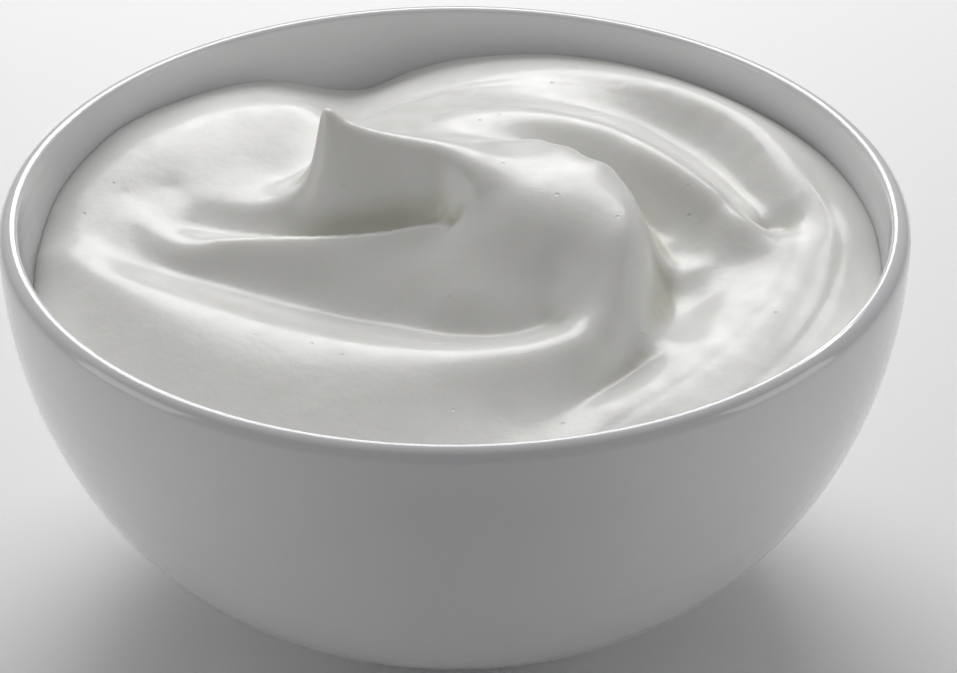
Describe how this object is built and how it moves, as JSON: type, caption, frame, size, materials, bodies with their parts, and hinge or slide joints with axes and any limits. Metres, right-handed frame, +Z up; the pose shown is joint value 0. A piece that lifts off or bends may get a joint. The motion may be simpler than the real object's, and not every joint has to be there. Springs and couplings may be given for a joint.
{
  "type": "bowl of yogurt",
  "caption": "Round white glazed porcelain bowl on a low foot ring, filled with thick white yogurt stirred into a swirl with a raised peak.",
  "frame": {"origin": "on the table, at the centre of the foot ring, on the bowl's axis", "axes": "+Z up along the bowl's axis; -Y is the front; the swirl's peak stands on the -X side"},
  "size_m": [0.14, 0.14, 0.0724],
  "materials": {
    "glazed_porcelain": "smooth clear glossy glaze over a white body",
    "yogurt": "moist satin, slightly translucent"
  },
  "bodies": {
    "root": {"bowl": "glazed_porcelain", "yogurt": "yogurt"}
  },
  "joints": []
}
